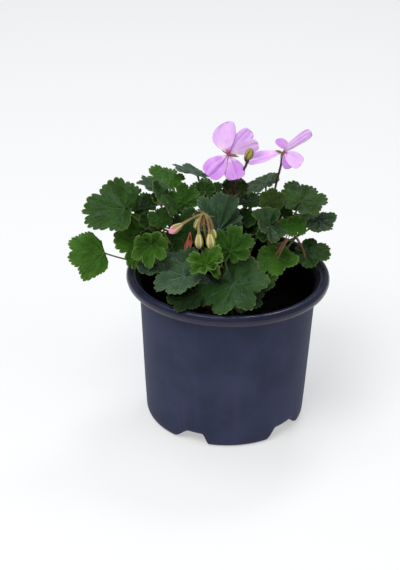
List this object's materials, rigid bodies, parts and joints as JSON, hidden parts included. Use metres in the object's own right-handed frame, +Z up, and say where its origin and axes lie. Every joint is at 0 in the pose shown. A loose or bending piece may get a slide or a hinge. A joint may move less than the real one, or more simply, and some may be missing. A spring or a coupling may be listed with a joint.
{
  "type": "potted geranium",
  "caption": "Young flowering geranium with scalloped leaves and lilac-pink flowers, growing in a plain round nursery pot with notches around its foot.",
  "frame": {"origin": "centre of the pot's flat base, on the ground", "axes": "+Z up along the pot's axis; the plant's viewing side faces -Y"},
  "size_m": [0.2221, 0.1768, 0.2587],
  "materials": {
    "pot_plastic": "semi-matte moulded plastic, dark navy blue",
    "potting_soil": "loose, damp and nearly black",
    "stem": "green-brown, slightly hairy",
    "leaf": "satin, finely hairy",
    "petal": "soft and slightly translucent",
    "flower_stalk": "dark red-brown, hairy",
    "bud": "satin green-yellow with pink tips"
  },
  "bodies": {
    "root": {"bud_upright": "bud", "buds_drooping": "bud", "flower_one_petal_lower_left": "petal", "flower_one_petal_lower_right": "petal", "flower_one_petal_right": "petal", "flower_one_petal_upper_left": "petal", "flower_one_petal_upper_right": "petal", "flower_one_stalk": "flower_stalk", "flower_two_petal_left": "petal", "flower_two_petal_lower": "petal", "flower_two_petal_right": "petal", "flower_two_petal_upper_left": "petal", "flower_two_petal_upper_right": "petal", "flower_two_stalk": "flower_stalk", "leaf_back_centre": "leaf", "leaf_back_far_left": "leaf", "leaf_back_far_right": "leaf", "leaf_back_left": "leaf", "leaf_back_low_left": "leaf", "leaf_back_low_right": "leaf", "leaf_back_right": "leaf", "leaf_centre": "leaf", "leaf_centre_bright": "leaf", "leaf_far_right": "leaf", "leaf_front_curl": "leaf", "leaf_front_large": "leaf", "leaf_front_left": "leaf", "leaf_front_left_up": "leaf", "leaf_front_low_left": "leaf", "leaf_front_right_lower": "leaf", "leaf_front_right_upper": "leaf", "leaf_left_bright": "leaf", "leaf_left_dark": "leaf", "leaf_left_deep": "leaf", "leaf_left_fold": "leaf", "leaf_left_grey": "leaf", "leaf_left_inner": "leaf", "leaf_left_large": "leaf", "leaf_left_low": "leaf", "leaf_left_rim": "leaf", "leaf_left_top": "leaf", "leaf_mid_dark": "leaf", "leaf_right_front": "leaf", "leaf_right_gloss": "leaf", "leaf_right_inner": "leaf", "leaf_right_large": "leaf", "leaf_right_low": "leaf", "leaf_right_olive": "leaf", "leaf_right_small": "leaf", "leaf_top_back": "leaf", "leaf_top_dark": "leaf", "leaf_top_mid": "leaf", "leaf_top_right": "leaf", "leaf_top_small": "leaf", "pot": "pot_plastic", "soil": "potting_soil", "stem_centre": "stem", "stem_front": "stem", "stem_left": "stem", "stem_right": "stem"}
  },
  "joints": []
}
